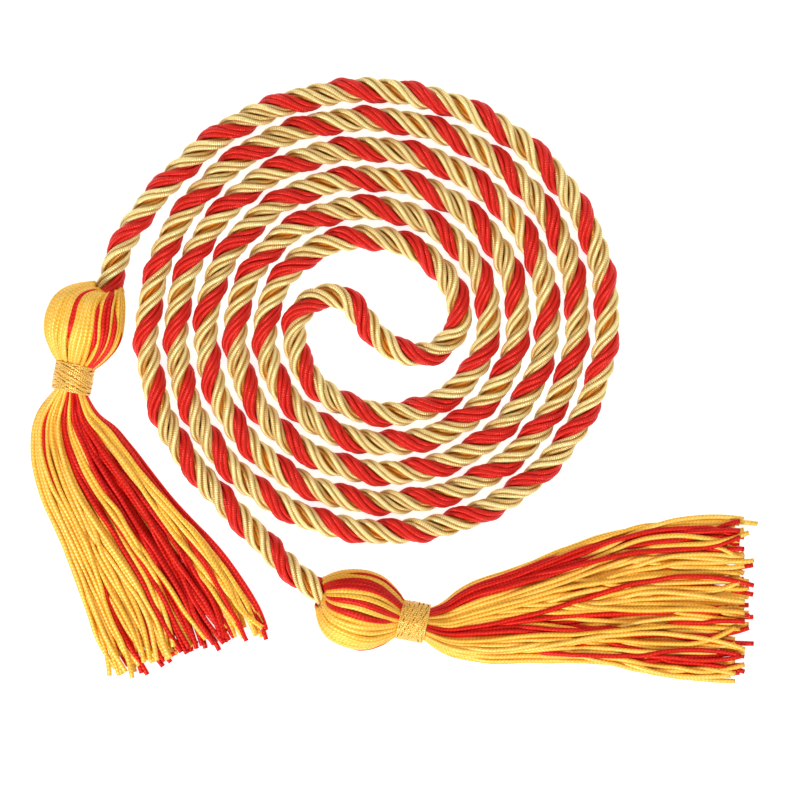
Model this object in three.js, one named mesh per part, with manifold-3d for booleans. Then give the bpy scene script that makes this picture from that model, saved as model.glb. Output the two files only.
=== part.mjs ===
// Honor cord: a three-ply twisted cord, laid flat in a double spiral, with a tassel at each end.
// Millimetres, +Z up. The cord rests on the plane z = 0.
import * as THREE from "three";
import * as BufferGeometryUtils from "three/addons/utils/BufferGeometryUtils.js";
import Module from "manifold-3d";

const wasm = await Module();
wasm.setup();

// The cord: three plies twisted together, one red and two gold
const CORD_DIAMETER = 6.9;
const CORD_LAY = 18.5; // length in which a ply goes once round the cord
const PLY_SHARE = 0.385; // a ply's radius as a share of the cord's, over its corners
const CORNER_REACH = 0.15; // how far the plies' corners stand out of the cord's mean radius
const PLY_COUNT = 3;
const STEPS_PER_LAY = 4.8; // steps along a ply in one lay
const PLY_SIDES = 4;

// The coil: two arms that wind in from opposite sides, each turn beside the last
const TURN_GAP = 0.94; // bare surface between neighbouring turns
const COIL_RADIUS = 63.7; // middle of the outer turn, where it first passes the top
const COIL_OVAL = 1.22; // how much wider than its mean radius the coil lies, and how much lower
const QUARTERS_LEFT = 11; // quarter turns of the arm that comes from the left tassel
const QUARTERS_LOWER = 10; // and of the arm that comes from the lower tassel
const POINTS_PER_QUARTER = 4;

// The tassels
const HEAD_LENGTH = 22;
const HEAD_WIDTH = 21.4;
const HEAD_HEIGHT = 17.6;
const HEAD_RIDGES = 8; // rounded folds of yarn round the head
const RIDGE_DEPTH = 0.5;
const HEAD_FLAT = 0.35; // how much of the head's height is pressed flat where it rests
const HEAD_END = 0.99; // where the head's folds stop, as a share of its length
const NECK_DIAMETER = 9;
const NECK_RISE = 6.3; // height of the middle of the neck above the surface
const SKIRT_LENGTH = 84;
const SKIRT_HALF_WIDTH = 22; // at the open ends
const SKIRT_THICKNESS = 6.2; // at the open ends
const LOCKS = 7;
const LOCK_SIDES = 5;
const LOCK_STEPS = 5;
const LOCK_OVERLAP = 1.3; // the locks' widths together, as a share of the skirt's
const LOCK_LEVEL = 0.2; // how far every other lock lies above or below the middle, as a share
const LOCK_START = 0.88; // the locks' bundle where it starts, as a share of the neck
const LOCK_DROP = 0.75; // how much of its thickness, squared, the skirt loses at its sides

// The wraps of gold thread round the necks, and the cord's seat in the heads
const WRAP_WIDTH = 7;
const WRAP_THICKNESS = 0.95;
const WRAP_SIDES = 14;
const PIECE_GAP = 0.3; // clearance between pieces that touch
const SEAT_DEPTH = 7; // how far the cord runs into a head
const SEAT_SIDES = 12;

const colour = {
  red: 0xc8281f,
  gold: 0xdcc07a,
  tassel: 0xf8b938,
  wrap: 0xd99a2b,
};
const cordRadius = CORD_DIAMETER / 2;
const cornerRadius = cordRadius + CORNER_REACH;
const up = new THREE.Vector3(0, 0, 1);

// The cord's route, as far as it isn't coiled, by hand: [x, y, z of the middle above its rest]
const LEFT_LEAD = [
  [-72.9, 3.4, 2.8],
  [-71.3, 9.0, 2.8],
  [-69.7, 14.6, 2.3],
  [-67.6, 20.6, 1],
  [-64.5, 26.6, 0.2],
  [-59.8, 33.0, 0],
  [-53.6, 39.7, 0],
  [-46.6, 46.4, 0],
  [-38.2, 52.5, 0],
  [-28.4, 57.2, 0],
  [-17.8, 60.5, 0],
  [-8.0, 62.1, 0],
];
const MIDDLE_S = [
  [-19.9, 4.0, 0],
  [-16.9, 6.9, 0],
  [-13.0, 8.0, 0],
  [-9.0, 7.2, 0],
  [-5.8, 4.6, 0],
  [-3.2, 1.3, 0],
  [-0.4, -2.2, 0],
  [3.2, -5.3, 0],
  [7.4, -7.3, 0],
  [11.8, -7.7, 0],
  [15.9, -6.5, 0],
  [19.2, -3.8, 0],
];
const LOWER_LEAD = [
  [-60.9, -6.5, 0],
  [-59.4, -15.0, 0],
  [-56.4, -24.6, 0],
  [-51.9, -32.8, 0],
  [-45.9, -40.6, 0],
  [-39.2, -48.0, 0],
  [-32.6, -54.8, 0.2],
  [-27.2, -60.3, 1],
  [-21.9, -65.2, 2.3],
  [-16.4, -69.5, 2.8],
  [-8.7, -75.0, 2.8],
];

// How each tassel lies: its heading in degrees, how far to the left of its axis the cord ends in
// its head, as a share of the head's width, the line that its skirt follows, as shares of the
// skirt's length along the heading and to the left of it, and how wide the skirt spreads.
const TASSELS = {
  left: {
    heading: -102,
    cordAside: 0.17,
    line: [[0, 0], [0.1, 0.01], [0.21, 0.075], [0.37, 0.22], [0.56, 0.395], [0.725, 0.535]],
    width: 0.92,
  },
  lower: {
    heading: -12.8,
    cordAside: -0.04,
    line: [[0, 0], [0.07, 0.005], [0.16, 0.04], [0.38, 0.13], [0.62, 0.215], [0.96, 0.295]],
    width: 1,
  },
};

// The head from its tip to the wrap: distance as a share of its length, half width and half
// height as shares of its own, and how far the middle has sunk from the head's to the neck's height
const HEAD_ROWS = [
  { along: 0, wide: 0.2, high: 0.2, sunk: 0.15 },
  { along: 0.04, wide: 0.52, high: 0.5, sunk: 0.12 },
  { along: 0.15, wide: 0.78, high: 0.78, sunk: 0.06 },
  { along: 0.32, wide: 0.95, high: 0.96, sunk: 0 },
  { along: 0.52, wide: 1, high: 1, sunk: 0 },
  { along: 0.72, wide: 0.92, high: 0.92, sunk: 0.25 },
  { along: 0.88, wide: 0.72, high: 0.74, sunk: 0.7 },
  { along: 1, wide: 0.5, high: 0.56, sunk: 1 },
];

// The skirt from the neck to the open ends: distance as a share of its length, how much of the way
// from the neck's half width to the open ends', and from round neck to flat ends, it has gone
const SKIRT_ROWS = [
  { along: 0, spread: 0, flat: 0 },
  { along: 0.03, spread: 0.05, flat: 0 },
  { along: 0.1, spread: 0.24, flat: 0.15 },
  { along: 0.2, spread: 0.42, flat: 0.4 },
  { along: 0.42, spread: 0.62, flat: 0.7 },
  { along: 0.7, spread: 0.88, flat: 0.9 },
  { along: 1, spread: 1, flat: 1 },
];

/** A table's column at a place between its rows. */
function fromRows(rows, along, column) {
  const after = rows.findIndex((row) => row.along > along);
  if (after < 0) return rows[rows.length - 1][column];
  if (after === 0) return rows[0][column];
  const low = rows[after - 1];
  const high = rows[after];
  return THREE.MathUtils.mapLinear(along, low.along, high.along, low[column], high[column]);
}

/** A point of a coil arm. Quarters are counted clockwise from the top of the coil. */
function coilPoint(startRadius, quarters) {
  const pitch = 2 * (CORD_DIAMETER + TURN_GAP);
  const angle = (Math.PI / 2) * (1 - quarters);
  const radius = startRadius - (pitch * quarters) / 4 + COIL_OVAL * Math.cos(2 * angle);
  return new THREE.Vector3(radius * Math.cos(angle), radius * Math.sin(angle), cornerRadius);
}

/** A coil arm's points, from one quarter turn to another. */
function coilArm(startRadius, first, last) {
  const count = Math.abs(last - first) * POINTS_PER_QUARTER;
  const points = [];
  for (let i = 0; i <= count; i += 1) {
    points.push(coilPoint(startRadius, first + ((last - first) * i) / count));
  }
  return points;
}

/** The middle of the cord, from the left tassel to the lower one. */
function cordRoute() {
  const byHand = (list) => list.map(([x, y, rise]) => new THREE.Vector3(x, y, cornerRadius + rise));
  const lowerStart = COIL_RADIUS - CORD_DIAMETER - TURN_GAP;
  const points = [
    ...byHand(LEFT_LEAD),
    ...coilArm(COIL_RADIUS, 0, QUARTERS_LEFT),
    ...byHand(MIDDLE_S),
    ...coilArm(lowerStart, QUARTERS_LOWER - 1, -1),
    ...byHand(LOWER_LEAD),
  ];
  const route = new THREE.CatmullRomCurve3(points, false, "centripetal");
  route.arcLengthDivisions = points.length * 12;
  return route;
}

/** One ply's middle: a right-handed helix round the route, with its section kept from twisting. */
class PlyCurve extends THREE.Curve {
  constructor(route, phase) {
    super();
    this.route = route;
    this.phase = phase;
    this.turns = route.getLength() / CORD_LAY;
  }

  frameAt(t) {
    const tangent = this.route.getTangentAt(t);
    const side = new THREE.Vector3().crossVectors(up, tangent).normalize();
    const rise = new THREE.Vector3().crossVectors(tangent, side);
    return { tangent, side, rise };
  }

  angleAt(t) {
    return this.phase + 2 * Math.PI * this.turns * t;
  }

  getPoint(t) {
    const { side, rise } = this.frameAt(t);
    const radius = cornerRadius * (1 - PLY_SHARE);
    const angle = this.angleAt(t);
    return this.route.getPointAt(t)
      .addScaledVector(side, radius * Math.cos(angle))
      .addScaledVector(rise, radius * Math.sin(angle));
  }

  getUtoTmapping(u) {
    return u;
  }

  // The section turns back a little at each step, so that a corner of it always points outwards
  computeFrenetFrames(segments) {
    const tangents = [];
    const normals = [];
    const binormals = [];
    for (let i = 0; i <= segments; i += 1) {
      const t = i / segments;
      const { side, rise } = this.frameAt(t);
      const tangent = this.getTangentAt(t);
      const angle = this.angleAt(t) - (i * 2 * Math.PI) / PLY_SIDES;
      const out = side.multiplyScalar(Math.cos(angle)).addScaledVector(rise, Math.sin(angle));
      const normal = out.addScaledVector(tangent, -out.dot(tangent)).normalize();
      tangents.push(tangent);
      normals.push(normal);
      binormals.push(new THREE.Vector3().crossVectors(tangent, normal));
    }
    return { tangents, normals, binormals };
  }
}

/** A regular outline of some sides round the middle, with a corner on +X. */
function regularShape(sides, radius) {
  const corners = [];
  for (let i = 0; i < sides; i += 1) {
    const angle = (2 * Math.PI * i) / sides;
    corners.push(new THREE.Vector2(radius * Math.cos(angle), radius * Math.sin(angle)));
  }
  return new THREE.Shape(corners);
}

/** A ply of the cord, square in section, along its helix. */
function plyGeometry(route, index) {
  const curve = new PlyCurve(route, (2 * Math.PI * index) / PLY_COUNT);
  return new THREE.ExtrudeGeometry(regularShape(PLY_SIDES, cornerRadius * PLY_SHARE), {
    steps: Math.round(curve.turns * STEPS_PER_LAY),
    bevelEnabled: false,
    extrudePath: curve,
  });
}

/** A closed geometry as a solid that can be joined and cut. */
function toSolid(geometry) {
  const bare = geometry.index ? geometry.toNonIndexed() : geometry.clone();
  bare.deleteAttribute("normal");
  bare.deleteAttribute("uv");
  const merged = BufferGeometryUtils.mergeVertices(bare, 1e-4);
  return new wasm.Manifold(new wasm.Mesh({
    numProp: 3,
    vertProperties: new Float32Array(merged.attributes.position.array),
    triVerts: new Uint32Array(merged.index.array),
  }));
}

/** A solid back as a geometry. */
function toGeometry(solid) {
  const mesh = solid.getMesh();
  const geometry = new THREE.BufferGeometry();
  geometry.setAttribute("position", new THREE.BufferAttribute(mesh.vertProperties, 3));
  geometry.setIndex(new THREE.BufferAttribute(mesh.triVerts, 1));
  return geometry;
}

/** Moves every vertex of a geometry by a function of its place. */
function reshape(geometry, place) {
  const position = geometry.attributes.position;
  const point = new THREE.Vector3();
  for (let i = 0; i < position.count; i += 1) {
    place(point.fromBufferAttribute(position, i));
    position.setXYZ(i, point.x, point.y, point.z);
  }
  return geometry;
}

const route = cordRoute();
const headRise = HEAD_HEIGHT / 2 - HEAD_FLAT;
const neckRadius = NECK_DIAMETER / 2;

/** Where the middle of a tassel's neck lies, with the cord's end seated in its head. */
function neckPlace(tassel, end) {
  const seat = new THREE.Vector2(
    SEAT_DEPTH - HEAD_LENGTH - WRAP_WIDTH / 2,
    tassel.cordAside * HEAD_WIDTH,
  );
  seat.rotateAround(new THREE.Vector2(), THREE.MathUtils.degToRad(tassel.heading));
  return new THREE.Vector2(end.x - seat.x, end.y - seat.y);
}

TASSELS.left.neck = neckPlace(TASSELS.left, route.getPointAt(0));
TASSELS.lower.neck = neckPlace(TASSELS.lower, route.getPointAt(1));

/** The head and neck about +X, tip first, with the wrap's middle at x = 0. */
function headGeometry() {
  const start = -WRAP_WIDTH / 2 - HEAD_LENGTH;
  const profile = [new THREE.Vector2(0, start)];
  for (const row of HEAD_ROWS.slice(0, -1)) {
    profile.push(new THREE.Vector2((row.wide * HEAD_WIDTH) / 2, start + row.along * HEAD_LENGTH));
  }
  profile.push(new THREE.Vector2(neckRadius, -WRAP_WIDTH / 2));
  profile.push(new THREE.Vector2(neckRadius, WRAP_WIDTH / 2));
  profile.push(new THREE.Vector2(0, WRAP_WIDTH / 2 + neckRadius));
  const lathe = new THREE.LatheGeometry(profile, 2 * HEAD_RIDGES);
  return reshape(lathe, (point) => {
    const radius = Math.hypot(point.x, point.z);
    const angle = Math.atan2(point.z, point.x);
    const along = (point.y - start) / HEAD_LENGTH;
    const onHead = along < HEAD_END && radius > neckRadius / 2;
    const ridged = onHead ? radius + RIDGE_DEPTH * (Math.cos(HEAD_RIDGES * angle) - 1) / 2 : radius;
    const wide = fromRows(HEAD_ROWS, along, "wide") * HEAD_WIDTH;
    const high = fromRows(HEAD_ROWS, along, "high") * HEAD_HEIGHT;
    const squash = onHead ? high / wide : 1;
    const sunk = fromRows(HEAD_ROWS, along, "sunk");
    const middle = THREE.MathUtils.lerp(headRise, NECK_RISE, sunk);
    point.set(point.y, -ridged * Math.cos(angle), middle + squash * ridged * Math.sin(angle));
  });
}

/** One lock of the skirt: across is -1 to 1 over the skirt's width, level how high it lies. */
function lockGeometry(line, halfWidth, across, level) {
  const lock = new THREE.ExtrudeGeometry(regularShape(LOCK_SIDES, 1), {
    steps: LOCK_STEPS,
    depth: 1,
    bevelEnabled: false,
  });
  const width = LOCK_OVERLAP / LOCKS;
  return reshape(lock, (point) => {
    const along = point.z;
    const spread = fromRows(SKIRT_ROWS, along, "spread");
    const flat = fromRows(SKIRT_ROWS, along, "flat");
    const wide = THREE.MathUtils.lerp(LOCK_START * neckRadius, halfWidth, spread);
    const thickness = THREE.MathUtils.lerp(LOCK_START * NECK_DIAMETER, SKIRT_THICKNESS, flat);
    const middle = THREE.MathUtils.lerp(NECK_RISE, SKIRT_THICKNESS / 2 - HEAD_FLAT, flat);
    const centre = line.getPointAt(along);
    const heading = line.getTangentAt(along);
    const drop = Math.sqrt(1 - LOCK_DROP * across * across);
    const aside = wide * (across * (1 - width) + point.x * width);
    const height = middle + (thickness / 2) * drop * (level + point.y * (1 - Math.abs(level)));
    point.set(centre.x - heading.y * aside, centre.y + heading.x * aside, height);
  });
}

/** All the locks of a skirt, side by side, every other one lying higher. */
function skirtLocks(line, halfWidth) {
  const locks = [];
  for (let i = 0; i < LOCKS; i += 1) {
    const level = i % 2 === 1 ? LOCK_LEVEL : -LOCK_LEVEL;
    locks.push(lockGeometry(line, halfWidth, (2 * i) / (LOCKS - 1) - 1, level));
  }
  return locks;
}

/** Stands a geometry made about a tassel's own axis where that tassel lies. */
function layTassel(geometry, tassel) {
  geometry.rotateZ(THREE.MathUtils.degToRad(tassel.heading));
  return geometry.translate(tassel.neck.x, tassel.neck.y, 0);
}

/** The line that a skirt follows, starting just inside the neck's open end. */
function skirtLine(tassel) {
  const start = WRAP_WIDTH / 2 - PIECE_GAP;
  const points = tassel.line.map(([along, aside]) => new THREE.Vector3(
    start + along * SKIRT_LENGTH,
    aside * SKIRT_LENGTH,
    0,
  ));
  return new THREE.CatmullRomCurve3(points, false, "centripetal");
}

/** The bore that a cord's end lies in, along the cord's last stretch. */
function seatGeometry(end, before) {
  const axis = new THREE.Vector3().subVectors(before, end).normalize();
  const depth = axis.clone().multiplyScalar(-cordRadius / 3 - PIECE_GAP).add(end);
  const radius = (cornerRadius + PIECE_GAP) / Math.cos(Math.PI / SEAT_SIDES);
  const bore = new THREE.CylinderGeometry(radius, radius, 4 * SEAT_DEPTH, SEAT_SIDES);
  bore.translate(0, 2 * SEAT_DEPTH, 0);
  bore.applyQuaternion(new THREE.Quaternion().setFromUnitVectors(new THREE.Vector3(0, 1, 0), axis));
  return bore.translate(depth.x, depth.y, depth.z);
}

/** A whole tassel: head, neck and locks in one, flat underneath, with the cord's seat cut in. */
function tasselGeometry(tassel, end, before) {
  let solid = toSolid(layTassel(headGeometry(), tassel));
  for (const lock of skirtLocks(skirtLine(tassel), tassel.width * SKIRT_HALF_WIDTH)) {
    solid = solid.add(toSolid(layTassel(lock, tassel)));
  }
  const reach = 4 * SKIRT_LENGTH;
  const floor = new THREE.BoxGeometry(reach, reach, reach);
  floor.translate(tassel.neck.x, tassel.neck.y, -reach / 2);
  return toGeometry(solid.subtract(toSolid(floor)).subtract(toSolid(seatGeometry(end, before))));
}

/** A neck wrap: a round band about the neck, a little fuller in its middle. */
function wrapGeometry(tassel) {
  const inner = (neckRadius + PIECE_GAP) / Math.cos(Math.PI / WRAP_SIDES);
  const outer = inner + WRAP_THICKNESS;
  const half = WRAP_WIDTH / 2 - PIECE_GAP;
  const profile = [
    new THREE.Vector2(inner, -half),
    new THREE.Vector2(outer - WRAP_THICKNESS / 3, -half),
    new THREE.Vector2(outer, -half / 2),
    new THREE.Vector2(outer, half / 2),
    new THREE.Vector2(outer - WRAP_THICKNESS / 3, half),
    new THREE.Vector2(inner, half),
    new THREE.Vector2(inner, -half),
  ];
  const band = new THREE.LatheGeometry(profile, WRAP_SIDES);
  band.rotateZ(-Math.PI / 2);
  band.translate(0, 0, NECK_RISE);
  return layTassel(band, tassel);
}

/** A named piece with its own material. */
function piece(name, geometry, hex, roughness) {
  const material = new THREE.MeshStandardMaterial({ color: hex, roughness, metalness: 0 });
  const mesh = new THREE.Mesh(geometry, material);
  mesh.name = name;
  return mesh;
}

const leftEnd = route.getPointAt(0);
const lowerEnd = route.getPointAt(1);
const seatShare = SEAT_DEPTH / route.getLength();

const honorCord = new THREE.Group();
honorCord.add(
  piece("ply_red", plyGeometry(route, 0), colour.red, 0.45),
  piece("ply_gold_a", plyGeometry(route, 1), colour.gold, 0.45),
  piece("ply_gold_b", plyGeometry(route, 2), colour.gold, 0.45),
  piece(
    "tassel_left",
    tasselGeometry(TASSELS.left, leftEnd, route.getPointAt(seatShare)),
    colour.tassel,
    0.6,
  ),
  piece(
    "tassel_lower",
    tasselGeometry(TASSELS.lower, lowerEnd, route.getPointAt(1 - seatShare)),
    colour.tassel,
    0.6,
  ),
  piece("neck_wrap_left", wrapGeometry(TASSELS.left), colour.wrap, 0.4),
  piece("neck_wrap_lower", wrapGeometry(TASSELS.lower), colour.wrap, 0.4),
);

// The origin is under the middle of the whole object
const box = new THREE.Box3().setFromObject(honorCord);
honorCord.position.set(-(box.min.x + box.max.x) / 2, -(box.min.y + box.max.y) / 2, -box.min.z);

export default honorCord;
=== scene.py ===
"""The looks of an honor cord: a twisted cord of one red and two gold plies, laid as a flat double
spiral on a pale table, with a yarn tassel at each end. Metres, in the part's own frame."""
import math

import bmesh
import bpy
import numpy as np
from mathutils import Matrix, Vector


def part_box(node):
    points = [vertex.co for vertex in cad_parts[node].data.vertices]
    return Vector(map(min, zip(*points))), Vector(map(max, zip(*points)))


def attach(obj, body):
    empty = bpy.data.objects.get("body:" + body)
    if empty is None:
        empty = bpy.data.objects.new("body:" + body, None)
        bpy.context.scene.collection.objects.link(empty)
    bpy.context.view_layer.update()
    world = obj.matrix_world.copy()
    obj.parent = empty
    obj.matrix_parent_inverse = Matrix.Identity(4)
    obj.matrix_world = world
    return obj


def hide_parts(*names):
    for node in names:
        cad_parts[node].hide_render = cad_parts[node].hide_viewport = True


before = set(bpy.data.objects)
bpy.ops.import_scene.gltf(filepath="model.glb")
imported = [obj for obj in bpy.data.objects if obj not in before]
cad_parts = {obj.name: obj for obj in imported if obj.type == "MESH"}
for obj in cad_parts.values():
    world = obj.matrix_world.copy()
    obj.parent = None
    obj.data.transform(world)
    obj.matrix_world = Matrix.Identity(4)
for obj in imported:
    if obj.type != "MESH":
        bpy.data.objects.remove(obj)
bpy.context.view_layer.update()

MM = 0.001
UP = np.array([0.0, 0.0, 1.0])
LOWEST = 0.00002  # no yarn reaches lower than this over the table

# The cord, as the part's source has it
CORD_RADIUS = 0.00345
CORD_LAY = 0.0185  # length in which a ply goes once round the cord
PLY_COUNT = 3
TURN_GAP = 0.00094
COIL_RADIUS = 0.0637
COIL_OVAL = 0.00122
QUARTERS_LEFT = 11
QUARTERS_LOWER = 10
POINTS_PER_QUARTER = 4

# A ply: yarns laid side by side round its middle
PLY_RADIUS = CORD_RADIUS / (1 + 2 / math.sqrt(3))
PLY_RING = 2 / math.sqrt(3) * PLY_RADIUS  # from the cord's middle to a ply's
# How a ply is laid up: its yarns, their radius, and how far they lie from the ply's middle
PLIES = {
    "ply_red": {"slot": "cord_red", "yarns": 6, "radius": 0.00074, "ring": 0.00126},
    "ply_gold_a": {"slot": "cord_gold", "yarns": 4, "radius": 0.00074, "ring": 0.00086},
    "ply_gold_b": {"slot": "cord_gold", "yarns": 4, "radius": 0.00074, "ring": 0.00086},
}
YARN_TURN = -0.2  # turns of the yarns in their ply for each lay of the cord
ROPE_STEP = 0.0009
ROPE_SIDES = 8

# The tassels, as the part's source has them
HEAD_LENGTH = 0.022
HEAD_WIDTH = 0.0214
HEAD_HEIGHT = 0.0176
HEAD_RISE = HEAD_HEIGHT / 2 - 0.00035
NECK_RISE = 0.0063
SEAT_DEPTH = 0.007  # how far the cord runs into a head
SKIRT_LENGTH = 0.084
SKIRT_HALF_WIDTH = 0.022
WRAP_WIDTH = 0.007

# The tassels' yarn
TASSEL_YARN = 0.00066  # its radius
YARN_SIDES = 8
SKIRT_YARNS = 98
SKIRT_STEPS = 72
LONGEST = 1.12  # the longest yarn, as a share of the skirt's line

# The cord's route, as far as it isn't coiled: x, y, and the middle's height above its rest
LEFT_LEAD = [
    (-0.0729, 0.0034, 0.0028),
    (-0.0713, 0.0090, 0.0028),
    (-0.0697, 0.0146, 0.0023),
    (-0.0676, 0.0206, 0.0010),
    (-0.0645, 0.0266, 0.0002),
    (-0.0598, 0.0330, 0),
    (-0.0536, 0.0397, 0),
    (-0.0466, 0.0464, 0),
    (-0.0382, 0.0525, 0),
    (-0.0284, 0.0572, 0),
    (-0.0178, 0.0605, 0),
    (-0.0080, 0.0621, 0),
]
MIDDLE_S = [
    (-0.0199, 0.0040, 0),
    (-0.0169, 0.0069, 0),
    (-0.0130, 0.0080, 0),
    (-0.0090, 0.0072, 0),
    (-0.0058, 0.0046, 0),
    (-0.0032, 0.0013, 0),
    (-0.0004, -0.0022, 0),
    (0.0032, -0.0053, 0),
    (0.0074, -0.0073, 0),
    (0.0118, -0.0077, 0),
    (0.0159, -0.0065, 0),
    (0.0192, -0.0038, 0),
]
LOWER_LEAD = [
    (-0.0609, -0.0065, 0),
    (-0.0594, -0.0150, 0),
    (-0.0564, -0.0246, 0),
    (-0.0519, -0.0328, 0),
    (-0.0459, -0.0406, 0),
    (-0.0392, -0.0480, 0),
    (-0.0326, -0.0548, 0.0002),
    (-0.0272, -0.0603, 0.0010),
    (-0.0219, -0.0652, 0.0023),
    (-0.0164, -0.0695, 0.0028),
    (-0.0087, -0.0750, 0.0028),
]

# How each tassel lies. Places across run from -1 on the right of its heading to 1 on the left.
# heading: its direction, in degrees.
# cord_aside: how far to the left of its axis the cord ends, as a share of the head's width.
# crossing: how far yarns change places across the skirt, as a share of its half width.
# line: the skirt's middle, in shares of its length along the heading and to the left of it.
# spread: the half width at shares of the length, as shares of SKIRT_HALF_WIDTH.
# ends: how long yarns are, by their place across, as shares of the skirt's line.
# red_folds: the head's red yarns, counted from its left side over the top, each with the shares of
# the head's length between which it shows.
# neck_red: the places across the neck between which its upper yarns are red.
# red_share: from a place across the skirt on, the share of its yarns that ought to be red, on top of
# the skirt and underneath. Only yarns that lie low in the neck are made red for it.
# seed: starts the tassel's random draws.
TASSELS = {
    "left": {
        "heading": -102,
        "cord_aside": 0.17,
        "crossing": 0.1,
        "line": [(0, 0), (0.1, 0.01), (0.21, 0.075), (0.37, 0.22), (0.56, 0.395), (0.725, 0.535)],
        "spread": [
            (0, 0.19), (0.1, 0.41), (0.19, 0.55), (0.31, 0.65), (0.52, 0.74), (0.77, 0.87), (1, 0.96),
        ],
        "ends": [(-1, 0.97), (-0.4, 0.98), (0.3, 1.0), (1, 1.07)],
        "red_folds": [
            (1, 0.55, 1.2), (4, 0.35, 1.2), (6, 0.1, 1.2), (7, 0.1, 1.2), (9, 0.3, 0.7),
            (15, -0.1, 0.55), (31, -0.1, 1.2), (35, -0.1, 1.2),
        ],
        "neck_red": [(-0.72, -0.66), (-0.26, -0.1), (0.14, 0.62), (0.93, 1.01)],
        "red_share": [
            (-1, 0.0, 0.1), (-0.8, 0.2, 0.2), (-0.1, 0.9, 0.8), (0.5, 0.45, 0.4),
            (0.75, 0.0, 0.2), (0.97, 1.0, 1.0),
        ],
        "seed": 11,
    },
    "lower": {
        "heading": -12.8,
        "cord_aside": -0.04,
        "crossing": 0.32,
        "line": [(0, 0), (0.07, 0.005), (0.16, 0.04), (0.38, 0.13), (0.62, 0.215), (0.96, 0.295)],
        "spread": [
            (0, 0.19), (0.09, 0.37), (0.18, 0.5), (0.3, 0.57), (0.43, 0.69), (0.69, 0.91), (1, 0.98),
        ],
        "ends": [(-1, 0.99), (-0.4, 1.01), (0.4, 1.02), (0.96, 0.98), (1, 1.06)],
        "red_folds": [
            (3, 0.3, 1.2), (6, -0.1, 1.2), (7, -0.1, 1.2), (8, -0.1, 1.2), (11, 0.0, 1.2),
            (13, -0.1, 0.85), (24, 0.5, 0.9), (30, -0.1, 1.2), (36, -0.1, 1.2),
        ],
        "neck_red": [(-0.4, -0.08), (0.6, 0.95)],
        "red_share": [
            (-1, 0.0, 0.0), (-0.92, 0.85, 0.8), (-0.74, 0.0, 0.1), (0.05, 0.1, 0.1),
            (0.6, 0.2, 0.1), (0.84, 0.3, 0.2), (0.94, 0.0, 0.0),
        ],
        "seed": 12,
    },
}


def neck_place(tassel, end):
    """Where the middle of a tassel's neck lies, with the cord's end seated in its head."""
    turn = math.radians(tassel["heading"])
    along = SEAT_DEPTH - HEAD_LENGTH - WRAP_WIDTH / 2
    aside = tassel["cord_aside"] * HEAD_WIDTH
    x = end[0] - along * math.cos(turn) + aside * math.sin(turn)
    y = end[1] - along * math.sin(turn) - aside * math.cos(turn)
    return x, y


TASSELS["left"]["neck"] = neck_place(TASSELS["left"], LEFT_LEAD[0])
TASSELS["lower"]["neck"] = neck_place(TASSELS["lower"], LOWER_LEAD[-1])

# The part's frame has its origin under the middle of the whole object
neck_low, neck_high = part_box("neck_wrap_lower")
SHIFT = np.array([
    (neck_low.x + neck_high.x) / 2 - TASSELS["lower"]["neck"][0],
    (neck_low.y + neck_high.y) / 2 - TASSELS["lower"]["neck"][1],
    0,
])


def unit(vectors):
    """The vectors, each at length 1."""
    return vectors / np.linalg.norm(vectors, axis=-1, keepdims=True)


def smooth_line(points, steps=12):
    """A centripetal Catmull-Rom curve through the points, with some steps between neighbours."""
    p = np.array(points, float)
    p = np.vstack([2 * p[0] - p[1], p, 2 * p[-1] - p[-2]])
    before, here, there, after = p[:-3], p[1:-2], p[2:-1], p[3:]
    gap = [
        np.linalg.norm(b - a, axis=1, keepdims=True) ** 0.5
        for a, b in ((before, here), (here, there), (there, after))
    ]
    leave = (here - before) / gap[0] - (there - before) / (gap[0] + gap[1]) + (there - here) / gap[1]
    reach = (there - here) / gap[1] - (after - here) / (gap[1] + gap[2]) + (after - there) / gap[2]
    leave, reach = (leave * gap[1])[:, None], (reach * gap[1])[:, None]
    here, there = here[:, None], there[:, None]
    t = (np.arange(steps) / steps)[None, :, None]
    line = (
        here
        + leave * t
        + (3 * (there - here) - 2 * leave - reach) * t**2
        + (2 * (here - there) + leave + reach) * t**3
    )
    return np.vstack([line.reshape(-1, p.shape[1]), p[-2]])


def even_line(line, count):
    """The line again, as a number of points at even steps of its length."""
    steps = np.linalg.norm(np.diff(line, axis=0), axis=1)
    run = np.concatenate([[0], np.cumsum(steps)])
    places = np.linspace(0, run[-1], count)
    return np.stack([np.interp(places, run, line[:, k]) for k in range(line.shape[1])], axis=1)


def line_length(line):
    """A line's length."""
    return float(np.linalg.norm(np.diff(line, axis=0), axis=1).sum())


def coil_arm(start, first, last):
    """A coil arm's points from one quarter turn to another, counted clockwise from the top."""
    count = abs(last - first) * POINTS_PER_QUARTER
    pitch = 2 * (2 * CORD_RADIUS + TURN_GAP)
    points = []
    for i in range(count + 1):
        quarters = first + (last - first) * i / count
        angle = math.pi / 2 * (1 - quarters)
        radius = start - pitch * quarters / 4 + COIL_OVAL * math.cos(2 * angle)
        points.append((radius * math.cos(angle), radius * math.sin(angle), 0))
    return points


def cord_route():
    """The middle of the cord, from the left tassel to the lower one, at even steps."""
    inner = COIL_RADIUS - 2 * CORD_RADIUS - TURN_GAP
    points = (
        LEFT_LEAD
        + coil_arm(COIL_RADIUS, 0, QUARTERS_LEFT)
        + MIDDLE_S
        + coil_arm(inner, QUARTERS_LOWER - 1, -1)
        + LOWER_LEAD
    )
    line = smooth_line(points) + SHIFT + UP * CORD_RADIUS
    return even_line(line, round(line_length(line) / ROPE_STEP) + 1)


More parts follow.
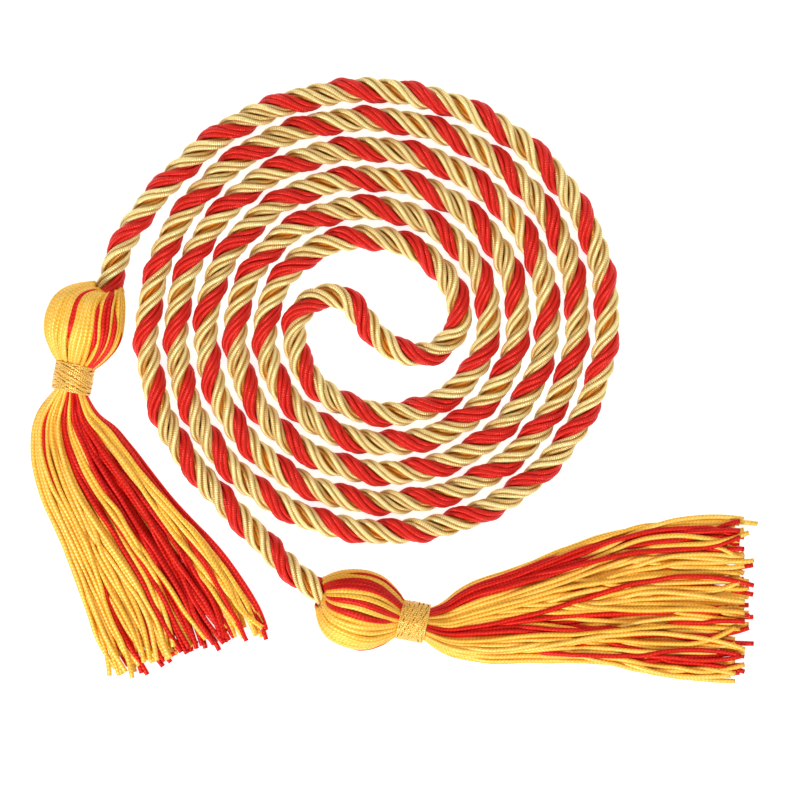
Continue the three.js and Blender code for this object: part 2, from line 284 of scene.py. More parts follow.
# The camera looks straight down, with the photograph's frame
PIXEL = 0.265 * MM  # what one of the photograph's pixels shows
FRAME_WIDTH = 800 * PIXEL
FRAME_MIDDLE = (0.00245, -0.00501)
CAMERA_HEIGHT = 1.2
camera = bpy.data.objects.new("camera", bpy.data.cameras.new("camera"))
camera.data.sensor_width = 36
camera.data.lens = camera.data.sensor_width * (CAMERA_HEIGHT - CORD_RADIUS) / FRAME_WIDTH
camera.location = (*FRAME_MIDDLE, CAMERA_HEIGHT)
bpy.context.scene.collection.objects.link(camera)
bpy.context.scene.camera = camera


def linear(code):
    """An sRGB hex colour as linear RGBA."""
    channels = [int(code[i:i + 2], 16) / 255 for i in (0, 2, 4)]
    curve = [c / 12.92 if c <= 0.04045 else ((c + 0.055) / 1.055) ** 2.4 for c in channels]
    return (*curve, 1)


def add_node(tree, kind, links=None, **settings):
    """Adds a node with its settings. Links name an input and what feeds it: a socket or a value."""
    node = tree.nodes.new(kind)
    for name, value in settings.items():
        setattr(node, name, value)
    for name, source in (links or {}).items():
        if isinstance(source, bpy.types.NodeSocket):
            tree.links.new(source, node.inputs[name])
        else:
            node.inputs[name].default_value = source
    return node


def ramp_stops(node, stops):
    """Sets a colour ramp's stops: places with their colours."""
    ramp = node.color_ramp
    while len(ramp.elements) < len(stops):
        ramp.elements.new(0.5)
    for element, (place, colour) in zip(ramp.elements, stops):
        element.position = place
        element.color = colour


def new_material(name):
    """A node material with its principled shader."""
    material = bpy.data.materials.new(name)
    material.use_nodes = True
    return material, material.node_tree, material.node_tree.nodes["Principled BSDF"]


def yarn_material(name):
    """A node material with its shader, and a yarn's UV in millimetres and its tone."""
    material, tree, shader = new_material(name)
    uv = add_node(tree, "ShaderNodeUVMap", uv_map="UVMap").outputs["UV"]
    tone = add_node(tree, "ShaderNodeAttribute", attribute_name="tone").outputs["Fac"]
    return material, tree, shader, uv, tone


def calculate(tree, operation, *values):
    """The result of a math node."""
    return add_node(tree, "ShaderNodeMath", dict(enumerate(values)), operation=operation).outputs[0]


def streaks(tree, uv, scale):
    """Noise drawn out along the yarn."""
    stretched = add_node(tree, "ShaderNodeMapping", {"Vector": uv, "Scale": scale})
    noise = add_node(
        tree, "ShaderNodeTexNoise", {"Vector": stretched.outputs["Vector"], "Scale": 1, "Detail": 3}
    )
    return noise.outputs["Fac"]


def colour_and_bump(tree, shader, value, stops, height, strength, deep_mm):
    """Colours a yarn by a value, from its folds to its crests, and raises it by a height."""
    # The ramp paints shade in folds and hollows, and highlights on the crests
    shade = add_node(tree, "ShaderNodeValToRGB", {"Fac": value})
    ramp_stops(shade, stops)
    bump = add_node(
        tree, "ShaderNodeBump", {"Height": height, "Strength": strength, "Distance": deep_mm * MM}
    )
    tree.links.new(shade.outputs["Color"], shader.inputs["Base Color"])
    tree.links.new(bump.outputs["Normal"], shader.inputs["Normal"])


BAND_GAP = 0.314  # from one band of a wave texture to the next, at scale 1


def satin_ply(name, deep_shade, valley_shade, crest_highlight):
    """Rayon yarn, its filaments wound round a core: satin, with fine ribs across the yarn."""
    rib = 0.5  # mm from one wound thread to the next, coarser than real ones so that they show
    material, tree, shader, uv, tone = yarn_material(name)
    depth = add_node(tree, "ShaderNodeAttribute", attribute_name="depth").outputs["Fac"]
    wound = add_node(
        tree, "ShaderNodeTexWave",
        {"Vector": uv, "Scale": BAND_GAP / rib, "Distortion": 1.2, "Detail": 1, "Detail Scale": 0.6},
        wave_type="BANDS", bands_direction="X",
    ).outputs["Fac"]
    # Painted shade where plies meet and between the ribs, painted highlights on the yarns' crests
    ribs = calculate(tree, "MULTIPLY_ADD", wound, 0.17, depth)
    uneven = calculate(tree, "MULTIPLY_ADD", streaks(tree, uv, (0.25, 1.1, 1)), 0.3, ribs)
    toned = calculate(tree, "ADD", uneven, tone)
    stops = [(0.2, linear(deep_shade)), (0.62, linear(valley_shade)), (0.98, linear(crest_highlight))]
    colour_and_bump(tree, shader, toned, stops, wound, strength=0.8, deep_mm=0.14)
    shader.inputs["Metallic"].default_value = 0.35
    shader.inputs["Roughness"].default_value = 0.32
    shader.inputs["Specular IOR Level"].default_value = 0.25
    return material


def chainette_yarn(name, deep_shade, mid, crest_highlight):
    """Knitted rayon chainette: rows of slanting stitches, painted shade in the eye between each two.
    """
    stitch = 0.98  # mm from one stitch to the next
    girth = 2 * math.pi * TASSEL_YARN / MM
    material, tree, shader, uv, tone = yarn_material(name)
    place = add_node(tree, "ShaderNodeSeparateXYZ", {"Vector": uv})
    wale = calculate(tree, "PINGPONG", place.outputs["Y"], girth / 6)
    slant = calculate(tree, "MULTIPLY_ADD", wale, 0.8, place.outputs["X"])
    turn = calculate(tree, "MULTIPLY", slant, 2 * math.pi / stitch)
    loop = calculate(tree, "SINE", turn)
    side = calculate(tree, "MULTIPLY", wale, 1.8 / girth)
    # Painted shade in the stitch eyes and between wales, painted highlights on the stitches
    raised = calculate(tree, "MULTIPLY_ADD", loop, 0.15, side)
    uneven = calculate(tree, "MULTIPLY_ADD", streaks(tree, uv, (0.7, 1.4, 1)), 0.6, raised)
    toned = calculate(tree, "ADD", uneven, tone)
    stops = [(0.12, linear(deep_shade)), (0.5, linear(mid)), (0.9, linear(crest_highlight))]
    colour_and_bump(tree, shader, toned, stops, raised, strength=0.9, deep_mm=0.18)
    shader.inputs["Metallic"].default_value = 0.2
    shader.inputs["Roughness"].default_value = 0.45
    shader.inputs["Specular IOR Level"].default_value = 0.25
    return material


def gilt_thread(name, deep_shade, mid, crest_highlight):
    """Fine twisted gold thread: filaments with painted glints along them and painted shade between.
    """
    twist = 0.5  # mm for each turn of the filaments, coarser than real ones so that they show
    material, tree, shader, uv, tone = yarn_material(name)
    turned = add_node(
        tree, "ShaderNodeMapping", {"Vector": uv, "Rotation": (0, 0, math.radians(35))}
    ).outputs["Vector"]
    filaments = add_node(
        tree, "ShaderNodeTexWave",
        {"Vector": turned, "Scale": BAND_GAP / twist, "Distortion": 1.5, "Detail": 2},
        wave_type="BANDS", bands_direction="X",
    ).outputs["Fac"]
    # Painted glints on the filament bands, painted shade between them
    glint = calculate(tree, "MULTIPLY_ADD", filaments, 0.7, tone)
    stops = [(0.05, linear(deep_shade)), (0.4, linear(mid)), (0.85, linear(crest_highlight))]
    colour_and_bump(tree, shader, glint, stops, filaments, strength=0.8, deep_mm=0.06)
    shader.inputs["Metallic"].default_value = 0.25
    shader.inputs["Roughness"].default_value = 0.3
    return material


# Colours from the folds to the crests: painted shade, the yarn's own colour, painted highlights.
# On the cord the middle colour is painted shade as well, and the gold's orange is painted shade
# with a painted warm reflection.
MATERIALS = {
    "cord_red": satin_ply("red_rayon_satin", "8A0804", "AE0E0A", "DE2A20"),
    "cord_gold": satin_ply("pale_gold_rayon_satin", "DC7E10", "C09044", "FFEBA2"),
    "tassel_gold": chainette_yarn("gold_rayon_chainette", "E8A024", "FCC84C", "FFE49A"),
    "tassel_red": chainette_yarn("red_rayon_chainette", "A80A06", "DA160A", "F04426"),
    "neck_thread": gilt_thread("gold_filament_thread", "D89428", "F4BE44", "FFE896"),
}


SKEW = np.array([0.13, 0.29, 0.95])  # a direction that no yarn starts along
SEAM = 1e-7  # corners nearer to each other than this are sewn into one
PATTERN_SHIFT = 1.7  # mm by which each yarn's pattern is ahead of its neighbour's


def steady_frames(middles):
    """Tangents, and side vectors that follow each line without turning about it."""
    tangents = unit(np.gradient(middles, axis=1))
    sides = np.empty_like(tangents)
    last = np.cross(tangents[:, 0], SKEW)
    for i in range(middles.shape[1]):
        last = last - (last * tangents[:, i]).sum(-1, keepdims=True) * tangents[:, i]
        last = unit(last)
        sides[:, i] = last
    return tangents, sides


def rolled_yarns(name, middles, radii, sides, tones, depth_of=None):
    """Yarns as one mesh: a flat grid for each, rolled round its middle line, sewn up and closed.

    middles is yarns by stations by xyz, radii yarns by stations, and tones one number a yarn. The
    UV is in millimetres, along each yarn and round it.
    """
    yarns, stations = middles.shape[:2]
    bm = bmesh.new()
    bm.loops.layers.uv.new("UVMap")
    for _ in range(yarns):
        bmesh.ops.create_grid(bm, x_segments=stations - 1, y_segments=sides, size=1, calc_uvs=True)
    mesh = bpy.data.meshes.new(name)
    bm.to_mesh(mesh)
    bm.free()

    flat = np.empty(len(mesh.vertices) * 3, np.float32)
    mesh.vertices.foreach_get("co", flat)
    flat = flat.reshape(yarns, -1, 3)
    station = np.rint((flat[..., 0] + 1) / 2 * (stations - 1)).astype(int)
    around = np.rint((flat[..., 1] + 1) / 2 * sides).astype(int) % sides
    angle = 2 * math.pi * around / sides
    yarn = np.arange(yarns)[:, None]
    tangents, across = steady_frames(middles)
    out = np.cross(tangents, across)
    radius = radii[yarn, station][..., None]
    cosine, sine = np.cos(angle)[..., None], np.sin(angle)[..., None]
    turned = across[yarn, station] * cosine + out[yarn, station] * sine
    placed = middles[yarn, station] + radius * turned
    placed[..., 2] = np.maximum(placed[..., 2], LOWEST)
    mesh.vertices.foreach_set("co", placed.astype(np.float32).ravel())

    uv = np.empty(len(mesh.loops) * 2, np.float32)
    layer = mesh.uv_layers["UVMap"].uv
    layer.foreach_get("vector", uv)
    uv = uv.reshape(yarns, -1, 2)
    for k in range(yarns):
        uv[k] *= (line_length(middles[k]) / MM, 2 * math.pi * radii[k].max() / MM)
        uv[k] += (PATTERN_SHIFT * k, 0)
    layer.foreach_set("vector", uv.ravel())

    tone = mesh.attributes.new("tone", "FLOAT", "POINT")
    tone.data.foreach_set("value", np.repeat(tones, flat.shape[1]).astype(np.float32))
    if depth_of is not None:
        depth = mesh.attributes.new("depth", "FLOAT", "POINT")
        depth.data.foreach_set("value", depth_of(placed, station).astype(np.float32).ravel())

    bm = bmesh.new()
    bm.from_mesh(mesh)
    bmesh.ops.remove_doubles(bm, verts=bm.verts, dist=SEAM)
    bmesh.ops.holes_fill(bm, edges=[e for e in bm.edges if e.is_boundary], sides=sides)
    bmesh.ops.recalc_face_normals(bm, faces=bm.faces)
    bm.to_mesh(mesh)
    bm.free()
    mesh.polygons.foreach_set("use_smooth", np.ones(len(mesh.polygons), bool))
    mesh.update()
    return mesh


def place_piece(name, mesh, material, slot, *nodes):
    """A finished piece of the object: its material, its slot (not used), the nodes it stands for."""
    piece = bpy.data.objects.new(name, mesh)
    bpy.context.scene.collection.objects.link(piece)
    mesh.materials.append(MATERIALS[material])
    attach(piece, "root")
    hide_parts(*nodes)
    return piece


def ripple(rng, places, waves, amount):
    """A smooth random line: a few sines of the given wavelengths, at random phases."""
    total = np.zeros_like(places)
    for wave in waves:
        total += np.sin(2 * math.pi * places / wave + rng.uniform(0, 2 * math.pi))
    return amount * total / len(waves)


def ply_lines(route, index, ply_row):
    """A ply's middle, and the middles of its yarns, along the cord's route."""
    rng = np.random.default_rng(40 + index)
    run = np.linspace(0, line_length(route), len(route))
    tangent = unit(np.gradient(route, axis=0))
    side = unit(np.cross(UP, tangent))
    rise = np.cross(tangent, side)
    angle = (2 * math.pi * (index / PLY_COUNT + run / CORD_LAY))[:, None]
    outward = side * np.cos(angle) + rise * np.sin(angle)
    ply = route + PLY_RING * outward
    heading = unit(np.gradient(ply, axis=0))
    outward = unit(outward - (outward * heading).sum(-1, keepdims=True) * heading)
    beside = np.cross(heading, outward)
    yarns = []
    for k in range(ply_row["yarns"]):
        turn = 2 * math.pi * (k / ply_row["yarns"] + YARN_TURN * run / CORD_LAY)
        turn = (turn + ripple(rng, run, (0.021, 0.047, 0.09), 0.16))[:, None]
        ring = (ply_row["ring"] + ripple(rng, run, (0.013, 0.031), 0.00004))[:, None]
        yarns.append(ply + ring * (outward * np.cos(turn) + beside * np.sin(turn)))
    return ply, np.array(yarns)


def ply_depth(route, ply):
    """Gives how far out a place of a ply lies: 0 where plies meet, more on its yarns' crests."""
    yarns_meet = 0.00105  # from the ply's middle
    plies_meet = 0.0019  # from the cord's middle
    fold_height = 0.0007

    def depth_of(placed, station):
        on_cord = np.linalg.norm(placed - route[station], axis=-1)
        on_ply = np.linalg.norm(placed - ply[station], axis=-1)
        crest_highlight = np.clip((on_ply - yarns_meet) / (PLY_RADIUS - yarns_meet), 0, 1)
        fold = np.clip((on_cord - plies_meet) / fold_height, 0, 1)
        # Colours the cord: painted shade where plies meet, painted highlights on the crests
        return fold * (0.34 + 0.42 * crest_highlight)

    return depth_of


def build_cord(route):
    """The three plies, each a piece of its own."""
    rng = np.random.default_rng(7)
    for index, (name, ply_row) in enumerate(PLIES.items()):
        ply, yarns = ply_lines(route, index, ply_row)
        radii = np.full(yarns.shape[:2], ply_row["radius"])
        tones = rng.uniform(-0.06, 0.06, ply_row["yarns"])
        mesh = rolled_yarns("cord_" + name, yarns, radii, ROPE_SIDES, tones, ply_depth(route, ply))
        slot = ply_row["slot"]
        piece = place_piece("cord_" + name, mesh, slot, slot, name)


ROUTE = cord_route()
build_cord(ROUTE)


def in_tassel(tassel, points):
    """Points about a tassel's own axis, in the part's frame."""
    turn = math.radians(tassel["heading"])
    along, aside = points[..., 0], points[..., 1]
    x = tassel["neck"][0] + along * math.cos(turn) - aside * math.sin(turn)
    y = tassel["neck"][1] + along * math.sin(turn) + aside * math.cos(turn)
    return np.stack([x, y, points[..., 2]], axis=-1) + SHIFT


def from_tassel(tassel, points):
    """Points of the part's frame, about a tassel's own axis."""
    turn = math.radians(tassel["heading"])
    x = points[..., 0] - SHIFT[0] - tassel["neck"][0]
    y = points[..., 1] - SHIFT[1] - tassel["neck"][1]
    along = x * math.cos(turn) + y * math.sin(turn)
    aside = -x * math.sin(turn) + y * math.cos(turn)
    return np.stack([along, aside, points[..., 2]], axis=-1)


# How a skirt's yarns are laid at each place along it, in rounds
BUNDLE_STEP = 0.0012  # from one place to the next
NECK_REACH = 0.0039  # from the neck's middle to its outer yarns' middles
NECK_TOP = 0.15  # the rank by height above which a yarn is in the neck's upper part
LOCKS = 9  # groups of neighbours that wander together
CHANGE_FROM = 0.12  # the share of the skirt's length at which yarns begin to change places
CHANGE_OVER = 0.7  # the share of its length that they take for it
# A yarn's radius, squeezed in the neck: distances from it, and radii
SWELL = ((0, 0.008, 0.02, 0.034), (0.0004, 0.0005, 0.0006, TASSEL_YARN))
ROUNDS = 26
PULL = 0.22  # how much of the way to its own place a yarn goes in a round
FALL = 0.00005  # how far it sinks in a round
GIVE_WAY = 0.42  # how much of an overlap each of two yarns moves away in a round

# How a skirt's yarns end
END_DRAW = 0.014  # how much their lengths differ, as a share of the skirt's line
RED_LONGER = 0.022  # how much longer the red ones are
HOOK_DRAW = 0.0016  # how far aside tips turn
TIP_SHARE = 0.16  # how much of a yarn its tip is
TUCK = 0.005  # how far yarns run back into the neck


def ranks(values):
    """Each value's rank, as a place from -1 for the least to 1 for the greatest."""
    return np.argsort(np.argsort(values)) / (len(values) - 1) * 2 - 1


def skirt_bundle(tassel, rng):
    """Where each yarn of a skirt lies at each place along it: aside and height, as discs that
    start packed in the neck, are drawn apart as the skirt widens, and sink on to each other."""
    places = np.linspace(0, LONGEST, round(LONGEST * SKIRT_LENGTH / BUNDLE_STEP) + 1)
    order = np.arange(SKIRT_YARNS)
    turn = order * math.pi * (3 - math.sqrt(5))
    reach = NECK_REACH * np.sqrt((order + 0.5) / SKIRT_YARNS)
    aside = reach * np.cos(turn)
    height = NECK_RISE + reach * np.sin(turn)
    share = ranks(aside)
    lock = np.clip(((share + 1) * LOCKS / 2).astype(int), 0, LOCKS - 1)
    run = places * SKIRT_LENGTH
    half = np.interp(places, *zip(*tassel["spread"])) * SKIRT_HALF_WIDTH - TASSEL_YARN
    end_share = ranks(share + rng.normal(0, tassel["crossing"], SKIRT_YARNS))
    moved = np.clip((places - CHANGE_FROM) / CHANGE_OVER, 0, 1)
    moved = moved * moved * (3 - 2 * moved)
    shares = share[:, None] + moved * (end_share - share)[:, None]
    lock_wander = np.array([ripple(rng, run, (0.05, 0.11), 0.0012) for _ in range(LOCKS)])
    yarn_wander = np.array([ripple(rng, run, (0.05, 0.09, 0.15), 0.0018) for _ in order])
    grown = np.clip(places, 0, 1) ** 0.8
    target = half * shares + grown * (lock_wander[lock] + yarn_wander)
    radius = np.interp(run, *SWELL)
    rows = []
    for k in range(len(places)):
        for _ in range(ROUNDS):
            aside = aside + PULL * (target[:, k] - aside)
            height = height - FALL
            dx = aside[:, None] - aside[None]
            dz = height[:, None] - height[None]
            gap = np.hypot(dx, dz) + 1e-9
            push = np.clip(2 * radius[k] - gap, 0, None) * GIVE_WAY
            np.fill_diagonal(push, 0)
            aside = aside + (push * dx / gap).sum(1)
            height = np.maximum(height + (push * dz / gap).sum(1), radius[k])
        rows.append(np.stack([aside, height], axis=1))
    laid = np.array(rows)
    for _ in range(4):
        laid[1:-1] = (laid[:-2] + 2 * laid[1:-1] + laid[2:]) / 4
    return places, laid, radius


def on_top(rows):
    """Which yarns show from above: those with none close over them along half of the rows."""
    near = np.abs(rows[:, :, None, 0] - rows[:, None, :, 0]) < TASSEL_YARN * 1.3
    above = near & (rows[:, None, :, 1] > rows[:, :, None, 1] + TASSEL_YARN * 0.8)
    return above.any(2).mean(0) < 0.5


def red_yarns(tassel, laid):
    """Which of a skirt's yarns are red, and each one's place across the skirt.

    Yarns in the upper part of the neck are red between the places in neck_red and nowhere else.
    Yarns that lie low in the neck are made red while fewer are red than red_share says.
    """
    stations = len(laid)
    neck = laid[stations // 14: stations // 10]
    across_neck = ranks(neck[..., 0].mean(0))
    neck_top = ranks(neck[..., 1].mean(0)) > NECK_TOP
    mid = laid[stations // 3: 2 * stations // 3: 4]
    across = ranks(mid[..., 0].mean(0))
    top = on_top(mid)
    red = np.zeros(SKIRT_YARNS, bool)
    for low, high in tassel["neck_red"]:
        red |= neck_top & (across_neck > low) & (across_neck < high)
    owed = {True: 0.5, False: 0.5}  # red yarns due so far, on top and underneath, 2 at most
    for k in np.argsort(across):
        row = [r for r in tassel["red_share"] if across[k] >= r[0]][-1]
        here = bool(top[k])
        owed[here] = min(owed[here] + (row[1] if here else row[2]), 2)
        if owed[here] >= 1 and (red[k] or not neck_top[k]):
            red[k] = True
            owed[here] -= 1
    return red, across


def skirt_yarns(tassel, rng):
    """The middles and radii of a skirt's yarns, and which of them are red."""
    places, laid, radius = skirt_bundle(tassel, rng)
    start = WRAP_WIDTH / 2
    line = smooth_line([(start + a * SKIRT_LENGTH, b * SKIRT_LENGTH, 0) for a, b in tassel["line"]])
    length = line_length(line)
    # The line goes straight on for a while, for the yarns that reach past its end
    line = np.vstack([line, line[-1] + 0.15 * length * unit(line[-1] - line[-2])])
    run = np.concatenate([[0], np.cumsum(np.linalg.norm(np.diff(line, axis=0), axis=1))])
    centre = np.stack([np.interp(places * length, run, line[:, k]) for k in range(2)], axis=1)
    forward = unit(np.gradient(centre, axis=0))
    for _ in range(6):
        forward[1:-1] = unit(forward[:-2] + forward[1:-1] + forward[2:])
    left = np.stack([-forward[:, 1], forward[:, 0]], axis=1)
    points = np.empty((SKIRT_YARNS, len(places), 3))
    points[..., :2] = centre + laid[..., 0].T[..., None] * left
    points[..., 2] = laid[..., 1].T
    middles = np.empty((SKIRT_YARNS, SKIRT_STEPS, 3))
    radii = np.empty((SKIRT_YARNS, SKIRT_STEPS))
    red, across = red_yarns(tassel, laid)
    ends = np.interp(across, *zip(*tassel["ends"])) + rng.normal(0, END_DRAW, SKIRT_YARNS)
    ends = ends + RED_LONGER * red
    for k in range(SKIRT_YARNS):
        last = round((len(places) - 1) * min(ends[k] / LONGEST, 1))
        hook = rng.normal(0, HOOK_DRAW)
        tip = np.clip((places[:last] / places[last - 1] - 1) / TIP_SHARE + 1, 0, None) ** 2
        yarn = points[k, :last].copy()
        yarn[:, :2] += hook * tip[:, None] * left[:last]
        inside = yarn[:1] - np.array([[TUCK, 0, 0]])
        middles[k] = even_line(np.vstack([inside, yarn]), SKIRT_STEPS)
        radii[k] = np.interp(np.linspace(0, places[last - 1], SKIRT_STEPS), places, radius)
    return in_tassel(tassel, middles), radii, red


def build_skirt(side, tassel):
    """A skirt's gold yarns and its red ones."""
    rng = np.random.default_rng(tassel["seed"])
    middles, radii, red = skirt_yarns(tassel, rng)
    for colour, chosen in (("gold", ~red), ("red", red)):
        tones = rng.uniform(-0.08, 0.08, chosen.sum())
        name = "skirt_" + side + "_" + colour
        mesh = rolled_yarns(name, middles[chosen], radii[chosen], YARN_SIDES, tones)
        place_piece(name, mesh, "tassel_" + colour, "tassel_yarn", "tassel_" + side)


# The head's outside. Columns: share of its length from the tip, shares of its half width and half
# height, how much of the way down to the neck's height its middle has gone, and how much of the way
# from the cord's middle to its own
HEAD_ROWS = np.array([
    (0.00, 0.42, 0.42, 0.15, 0.25),
    (0.04, 0.58, 0.56, 0.12, 0.45),
    (0.10, 0.72, 0.72, 0.09, 0.65),
    (0.20, 0.86, 0.87, 0.04, 0.88),
    (0.32, 0.95, 0.96, 0.00, 1.00),
    (0.52, 1.00, 1.00, 0.00, 1.00),
    (0.72, 0.92, 0.92, 0.25, 1.00),
    (0.88, 0.72, 0.74, 0.70, 1.00),
    (1.00, 0.50, 0.56, 1.00, 1.00),
])
# A fold of yarn, from inside the head, out at its tip and back over it to the neck. Columns: share
# of the head's length from the tip, and share of the way from the cord to the head's outside
FOLD_ROWS = np.array([
    (0.30, 0.00),
    (0.12, 0.00),
    (0.03, 0.08),
    (-0.01, 0.35),
    (0.01, 0.65),
    (0.06, 0.90),
    (0.14, 1.00),
    (0.25, 1.00),
    (0.40, 1.00),
    (0.55, 1.00),
    (0.70, 1.00),
    (0.82, 1.00),
    (0.92, 1.00),
    (1.00, 1.00),
    (1.05, 1.00),
])
HEAD_YARNS = 48
HEAD_YARN = 0.0008  # its radius: fuller than a skirt's, so that neighbours merge
HEAD_BUNDLES = 7
BUNDLE_DRAW = 0.06  # how far a yarn is drawn towards its bundle at the neck, as an angle
GATHER = (0.45, 0.9)  # shares of the head's length between which the bundles gather
NOTCH = 0.12  # how much further along the head the folds over the cord begin than those beside it
NOTCH_END = 0.6  # the share of the head's length at which folds no longer lag behind
SINK = 0.0003  # how deep some folds lie among their neighbours
RED_DIP = 0.0016  # how deep a red fold lies where it doesn't show
DIP_SLOPE = 0.12  # the share of the head's length in which a red fold comes up
HEAD_STEPS = 44
# A yarn's radius along its fold, as a share of HEAD_YARN: places along it, and shares
HEAD_TAPER = ((0, 0.3, 0.6, 0.95, 1), (0.85, 1, 1.05, 0.75, 0.7))

# The core that fills a head: a ball, and a short bar in the neck
CORE_BALL = (0.0098, 0.0089, 0.0071)  # half its length, width and height
CORE_SHARE = 0.53  # how far its middle is from the neck, as a share of the head's length
BAR_RADIUS = 0.0047
BAR_LENGTH = 0.0095
BAR_PLACE = -0.0012  # its middle, along the tassel from the neck's
CORE_SHADE_TONE = -0.35  # darker than the yarns: painted shade, as in the deepest folds


def head_yarns(tassel, cord, rng):
    """The middles of the yarns that fold out round the cord and run over the head to the neck."""
    tip = -WRAP_WIDTH / 2 - HEAD_LENGTH
    cord_line = from_tassel(tassel, cord)
    order = np.argsort(cord_line[:, 0])
    out = FOLD_ROWS[:, 1]
    ring = CORD_RADIUS + 0.6 * TASSEL_YARN
    red_shows = {k: (low, high) for k, low, high in tassel["red_folds"]}
    sway = rng.uniform(0, 2 * math.pi, 2)
    middles = []
    for k in range(HEAD_YARNS):
        round_head = 2 * math.pi * (k + rng.uniform(-0.12, 0.12)) / HEAD_YARNS
        notch = NOTCH * max(math.sin(round_head), 0) ** 2
        share = FOLD_ROWS[:, 0] + notch * np.clip(1 - FOLD_ROWS[:, 0] / NOTCH_END, 0, 1)
        along = tip + share * HEAD_LENGTH
        cord_aside = np.interp(along, cord_line[order, 0], cord_line[order, 1])
        cord_height = np.interp(along, cord_line[order, 0], cord_line[order, 2])
        wide, high, sunk, gone = (
            np.interp(share, HEAD_ROWS[:, 0], HEAD_ROWS[:, column]) for column in (1, 2, 3, 4)
        )
        # Neighbours sway together round the head, and each wanders a little by itself
        angle = (
            round_head
            + 0.08 * np.sin(2 * round_head + 3 * share + sway[0])
            + 0.04 * np.sin(3 * round_head - 4 * share + sway[1])
            + ripple(rng, share, (0.7, 1.6), 0.02)
        )
        gathered = np.clip((share - GATHER[0]) / (GATHER[1] - GATHER[0]), 0, 1)
        angle = angle - BUNDLE_DRAW * gathered * np.sin(HEAD_BUNDLES * angle)
        sink = rng.uniform(0, SINK) + (k % 2) * SINK * gathered
        if k in red_shows:
            first, last = red_shows[k]
            slopes = (first - DIP_SLOPE, first, last, last + DIP_SLOPE)
            sink = RED_DIP * np.interp(share, slopes, (1, 0, 0, 1))
        half = wide * HEAD_WIDTH / 2 - TASSEL_YARN - sink
        tall = high * HEAD_HEIGHT / 2 - TASSEL_YARN - sink
        cosine, sine = np.cos(angle), np.sin(angle)
        head_height = HEAD_RISE + (NECK_RISE - HEAD_RISE) * sunk
        middle_aside = cord_aside * (1 - gone)
        middle_height = cord_height * (1 - gone) + head_height * gone
        outer = np.stack([middle_aside + half * cosine, middle_height + tall * sine], axis=1)
        inner = np.stack([cord_aside + ring * cosine, cord_height + ring * sine], axis=1)
        both = inner + out[:, None] * (outer - inner)
        points = np.column_stack([along, both[:, 0], np.maximum(both[:, 1], TASSEL_YARN)])
        middles.append(even_line(smooth_line(points, 8), HEAD_STEPS))
    return in_tassel(tassel, np.array(middles))


def build_head(side, tassel, cord):
    """A head's folded yarns, gold and red."""
    rng = np.random.default_rng(tassel["seed"] + 20)
    middles = head_yarns(tassel, cord, rng)
    radii = np.full(middles.shape[:2], HEAD_YARN)
    radii *= np.interp(np.linspace(0, 1, HEAD_STEPS), *HEAD_TAPER)
    red = np.isin(np.arange(HEAD_YARNS), [row[0] for row in tassel["red_folds"]])
    for colour, chosen in (("gold", ~red), ("red", red)):
        tones = rng.uniform(-0.12, 0.04, chosen.sum())
        name = "head_" + side + "_" + colour
        mesh = rolled_yarns(name, middles[chosen], radii[chosen], YARN_SIDES, tones)
        place_piece(name, mesh, "tassel_" + colour, "tassel_yarn", "tassel_" + side)


def build_core(side, tassel):
    """What fills a head and its neck, seen only as the ground of the deepest folds."""
    bm = bmesh.new()
    bm.loops.layers.uv.new("UVMap")
    bmesh.ops.create_uvsphere(bm, u_segments=32, v_segments=16, radius=1, calc_uvs=True)
    ball_place = (-WRAP_WIDTH / 2 - CORE_SHARE * HEAD_LENGTH, 0, HEAD_RISE)
    bmesh.ops.scale(bm, verts=bm.verts, vec=CORE_BALL)
    bmesh.ops.translate(bm, verts=bm.verts, vec=ball_place)
    bar = bmesh.ops.create_cone(
        bm, cap_ends=True, segments=24, radius1=BAR_RADIUS, radius2=BAR_RADIUS, depth=BAR_LENGTH,
        calc_uvs=True,
    )
    turn = Matrix.Translation((BAR_PLACE, 0, NECK_RISE)) @ Matrix.Rotation(math.pi / 2, 4, "Y")
    bmesh.ops.transform(bm, verts=bar["verts"], matrix=turn)
    heading = Matrix.Rotation(math.radians(tassel["heading"]), 4, "Z")
    bmesh.ops.transform(bm, verts=bm.verts, matrix=heading)
    bmesh.ops.translate(bm, verts=bm.verts, vec=np.array([*tassel["neck"], 0]) + SHIFT)
    bmesh.ops.recalc_face_normals(bm, faces=bm.faces)
    mesh = bpy.data.meshes.new("head_core_" + side)
    bm.to_mesh(mesh)
    bm.free()
    # Painted shade: the core is coloured darker than the yarns
    tone = mesh.attributes.new("tone", "FLOAT", "POINT")
    tone.data.foreach_set("value", np.full(len(mesh.vertices), CORE_SHADE_TONE, np.float32))
    place_piece("head_core_" + side, mesh, "tassel_gold", "tassel_yarn", "tassel_" + side)


# The neck's thread
THREAD_RADIUS = 0.00027
THREAD_SIDES = 6
THREAD_STEPS_PER_TURN = 36
# Layers wound over each other, each with its radius, turns, slant and phase
WRAP_LAYERS = [
    (0.00475, 17, 0.0004, 0.0),
    (0.005, 17, -0.0019, 1.9),
    (0.0052, 16, 0.0021, 4.0),
]
WRAP_FILL = 0.96  # the share of the wrap's width in which its turns lie
END_DROP = 0.00025  # how much nearer to the neck the outermost turns lie


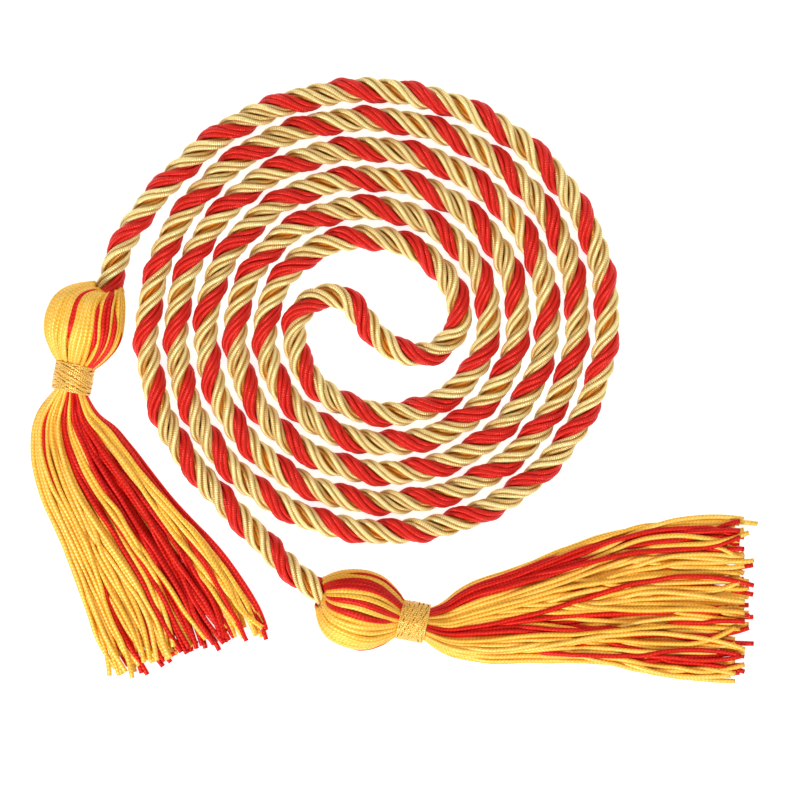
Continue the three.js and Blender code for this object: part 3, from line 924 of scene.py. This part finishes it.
def build_wrap(side, tassel):
    """The neck's wrap: fine thread in crossing layers."""
    rng = np.random.default_rng(tassel["seed"] + 40)
    half = WRAP_WIDTH / 2
    count = THREAD_STEPS_PER_TURN * max(turns for _, turns, _, _ in WRAP_LAYERS)
    share = np.linspace(0, 1, count)
    middles = []
    for ring, turns, slant, phase in WRAP_LAYERS:
        angle = 2 * math.pi * turns * share + phase
        radius = ring + ripple(rng, share, (0.013, 0.031, 0.11), 0.00012)
        radius = radius - END_DROP * np.abs(2 * share - 1) ** 4
        leaning = slant * np.cos(angle + ripple(rng, share, (0.2,), 0.6))
        along = half * (2 * share - 1) * WRAP_FILL + leaning
        along = np.clip(along + ripple(rng, share, (0.017, 0.05), 0.00012), -half, half)
        middles.append(np.column_stack([
            along, radius * np.cos(angle), NECK_RISE + radius * np.sin(angle),
        ]))
    middles = in_tassel(tassel, np.array(middles))
    radii = np.full(middles.shape[:2], THREAD_RADIUS)
    tones = rng.uniform(-0.05, 0.1, len(middles))
    mesh = rolled_yarns("neck_thread_" + side, middles, radii, THREAD_SIDES, tones)
    place_piece("neck_thread_" + side, mesh, "neck_thread", "neck_thread", "neck_wrap_" + side)


# The cord's stretch in and near each head, which the head's folds run round
in_head = round(0.9 * HEAD_LENGTH / ROPE_STEP)
CORD_ENDS = {"left": ROUTE[:in_head], "lower": ROUTE[-in_head:]}
for tassel_side, tassel_place in TASSELS.items():
    build_skirt(tassel_side, tassel_place)
    build_head(tassel_side, tassel_place, CORD_ENDS[tassel_side])
    build_core(tassel_side, tassel_place)
    build_wrap(tassel_side, tassel_place)


TABLE_HALF = 1.5
TABLE_DROP = 0.00005  # how far the table is under the part, so that faces don't share a plane


def build_stage():
    """A pale table under plain soft studio light."""
    bm = bmesh.new()
    bmesh.ops.create_grid(bm, x_segments=1, y_segments=1, size=TABLE_HALF)
    bmesh.ops.translate(bm, verts=bm.verts, vec=(0, 0, -TABLE_DROP))
    mesh = bpy.data.meshes.new("table_top")
    bm.to_mesh(mesh)
    bm.free()
    floor = bpy.data.objects.new("table_top", mesh)
    bpy.context.scene.collection.objects.link(floor)
    # Matt white board with a glow of its own, so that it looks as white as the photograph's ground
    material, _, shader = new_material("matt_white_board")
    shader.inputs["Base Color"].default_value = linear("D0D0D0")
    shader.inputs["Roughness"].default_value = 0.9
    shader.inputs["Emission Color"].default_value = (1, 1, 1, 1)
    shader.inputs["Emission Strength"].default_value = 0.82
    mesh.materials.append(material)

    world = bpy.data.worlds.new("studio")
    world.use_nodes = True
    world.node_tree.nodes["Background"].inputs["Color"].default_value = (1, 1, 1, 1)
    world.node_tree.nodes["Background"].inputs["Strength"].default_value = 0.5
    bpy.context.scene.world = world

    for name, place, size, power in (
        ("soft_key", (-0.35, -0.75, 0.8), 0.3, 11.0),
        ("soft_fill", (0.5, 0.7, 0.9), 0.4, 3.5),
    ):
        lamp = bpy.data.lights.new(name, "AREA")
        lamp.shape = "DISK"
        lamp.size = size
        lamp.energy = power
        holder = bpy.data.objects.new(name, lamp)
        holder.location = place
        holder.rotation_mode = "QUATERNION"
        holder.rotation_quaternion = (-Vector(place)).to_track_quat("-Z", "Y")
        bpy.context.scene.collection.objects.link(holder)
    bpy.context.scene.view_settings.view_transform = "Standard"


build_stage()
